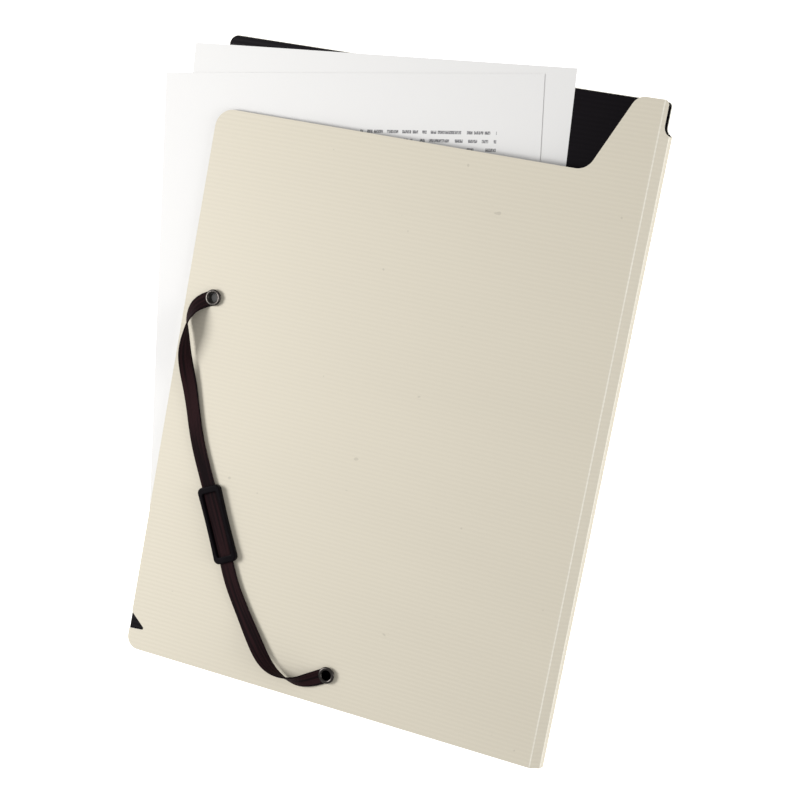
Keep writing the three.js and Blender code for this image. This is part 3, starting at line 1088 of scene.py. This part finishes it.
def paper_finish(name, where, printed, settings):
    finish = Finish(name)
    place = finish.place()
    fibre = finish.noise(place, 1400.0, 4.0)
    cloud = finish.noise(place, 55.0, 3.0)
    tone = finish.mix(cloud, settings.white[:], [part * 0.99 for part in settings.white])
    if printed:
        ink = print_ink(finish, place, where)
        tone = finish.mix(ink, tone, settings.ink[:])
    return finish.surface(
        Base_Color=tone,
        Roughness=0.86 + fibre * 0.1,
        Specular_IOR_Level=0.2,
        Normal=finish.bump(fibre, 0.02 * MM),
    )


class FOLDER_OT_papers(bpy.types.Operator):
    """Make the two sheets of paper in the folder"""

    bl_idname = "folder.papers"
    bl_label = "Paper"

    def execute(self, context):
        settings = context.scene.folder_paper
        sheets = [
            ("paper_rear", "rear_sheet", REAR_SHEET, False),
            ("paper_front", "front_sheet", FRONT_SHEET, True),
        ]
        for name, node, where, on_top in sheets:
            bpy.ops.object.select_all(action="DESELECT")
            bpy.ops.mesh.primitive_grid_add(
                x_subdivisions=70, y_subdivisions=90, size=1.0, location=(0, 0, 0)
            )
            piece = named(name)
            edit(piece)
            bpy.ops.transform.resize(value=(settings.width, settings.height, 1.0))
            bpy.ops.transform.translate(value=(-settings.width / 2, -settings.height / 2, 0.0))
            close()
            for vertex in piece.data.vertices if on_top else ():
                from_right = -vertex.co.x
                from_top = -vertex.co.y
                edge = min(from_right, from_top * 1.4)
                curl = settings.lift * math.exp(-((edge / CURL_WIDTH) ** 2))
                vertex.co.z = curl + RIPPLE * math.sin(from_top * 31.0 + from_right * 12.0) ** 2
            modify(piece, "SOLIDIFY", thickness=settings.thickness, offset=0.0)
            x, y, turn, level = where
            corner = Matrix.Translation((x, y, level))
            piece.data.transform(corner @ Matrix.Rotation(turn, 4, "Z"))
            alone(piece)
            bpy.ops.object.shade_smooth_by_angle(angle=math.radians(30))
            piece.data.materials.append(paper_finish(name + "_stock", where, on_top, settings))
            finish_piece(piece, "back", node)
        return {"FINISHED"}


# The middles of the two soft lights, which face the folder
KEY_PLACE = (-0.73, -0.06, 0.66)
FILL_PLACE = (1.2, 0.08, 0.37)

# The camera's place and its right, up and backward directions
CAMERA_PLACE = (0.252123, 0.09066, 0.764133)
CAMERA_WAYS = (
    (0.930036, 0.184465, -0.317814),
    (-0.211121, 0.976115, -0.051258),
    (0.300768, 0.114769, 0.946766),
)
FLOOR_SIZE = 8.0
FLOOR_GAP = 0.05 * MM


class FOLDER_OT_stage(bpy.types.Operator):
    """Make the floor, the soft light and the camera"""

    bl_idname = "folder.stage"
    bl_label = "Floor, light and camera"

    def execute(self, context):
        settings = context.scene.folder_stage
        bpy.ops.object.select_all(action="DESELECT")
        bpy.ops.mesh.primitive_plane_add(size=FLOOR_SIZE, location=(0.0, 0.0, -FLOOR_GAP))
        floor = named("floor")
        finish = Finish("pale_floor")
        floor.data.materials.append(
            finish.surface(
                Base_Color=settings.floor[:],
                Roughness=0.9,
                Emission_Color=(1.0, 1.0, 1.0),
                Emission_Strength=settings.floor_glow,
            )
        )

        world = bpy.data.worlds.new("white_room")
        world.use_nodes = True
        sky = world.node_tree.nodes["Background"].inputs
        sky["Color"].default_value = (1.0, 1.0, 1.0, 1.0)
        sky["Strength"].default_value = settings.sky
        context.scene.world = world

        lights = [
            ("key_light", KEY_PLACE, settings.key_size, settings.key_power),
            ("fill_light", FILL_PLACE, 2 * settings.key_size, settings.fill_power),
        ]
        for name, place, size, power in lights:
            bpy.ops.object.light_add(type="AREA", location=place)
            light = bpy.context.object
            light.name = name
            light.data.shape = "SQUARE"
            light.data.size = size
            light.data.energy = power
            light.rotation_euler = (-light.location).to_track_quat("-Z", "Y").to_euler()

        turn = Matrix(CAMERA_WAYS).transposed().to_4x4()
        bpy.ops.object.camera_add()
        camera = bpy.context.object
        camera.name = "camera"
        camera.matrix_world = Matrix.Translation(CAMERA_PLACE) @ turn
        camera.data.lens = settings.lens
        camera.data.sensor_width = 36.0
        camera.data.clip_start = 0.01
        context.scene.camera = camera
        context.scene.view_settings.view_transform = "Standard"
        return {"FINISHED"}


STEPS = ("covers", "creases", "band", "eyelets", "slider", "papers", "stage")


class FOLDER_PT_panel(bpy.types.Panel):
    bl_idname = "FOLDER_PT_panel"
    bl_label = "Document folder"
    bl_space_type = "VIEW_3D"
    bl_region_type = "UI"
    bl_category = "Folder"

    def draw(self, context):
        for step in STEPS:
            self.layout.operator("folder." + step)
        for group in SETTINGS:
            box = self.layout.box()
            settings = getattr(context.scene, group)
            for name in settings.bl_rna.properties.keys():
                if name not in ("rna_type", "name"):
                    box.prop(settings, name)


SETTINGS = {
    "folder_sheet": FolderSheetSettings,
    "folder_band": BandSettings,
    "folder_metal": MetalSettings,
    "folder_slider": SliderSettings,
    "folder_paper": PaperSettings,
    "folder_stage": StageSettings,
}

CLASSES = (
    *SETTINGS.values(),
    FOLDER_OT_covers,
    FOLDER_OT_creases,
    FOLDER_OT_band,
    FOLDER_OT_eyelets,
    FOLDER_OT_slider,
    FOLDER_OT_papers,
    FOLDER_OT_stage,
    FOLDER_PT_panel,
)


def register():
    for cls in CLASSES:
        bpy.utils.register_class(cls)
    for name, group in SETTINGS.items():
        setattr(bpy.types.Scene, name, bpy.props.PointerProperty(type=group))


def unregister():
    for name in SETTINGS:
        delattr(bpy.types.Scene, name)
    for cls in reversed(CLASSES):
        bpy.utils.unregister_class(cls)


def main():
    register()
    for step in STEPS:
        getattr(bpy.ops.folder, step)()


if __name__ == "__main__":
    main()
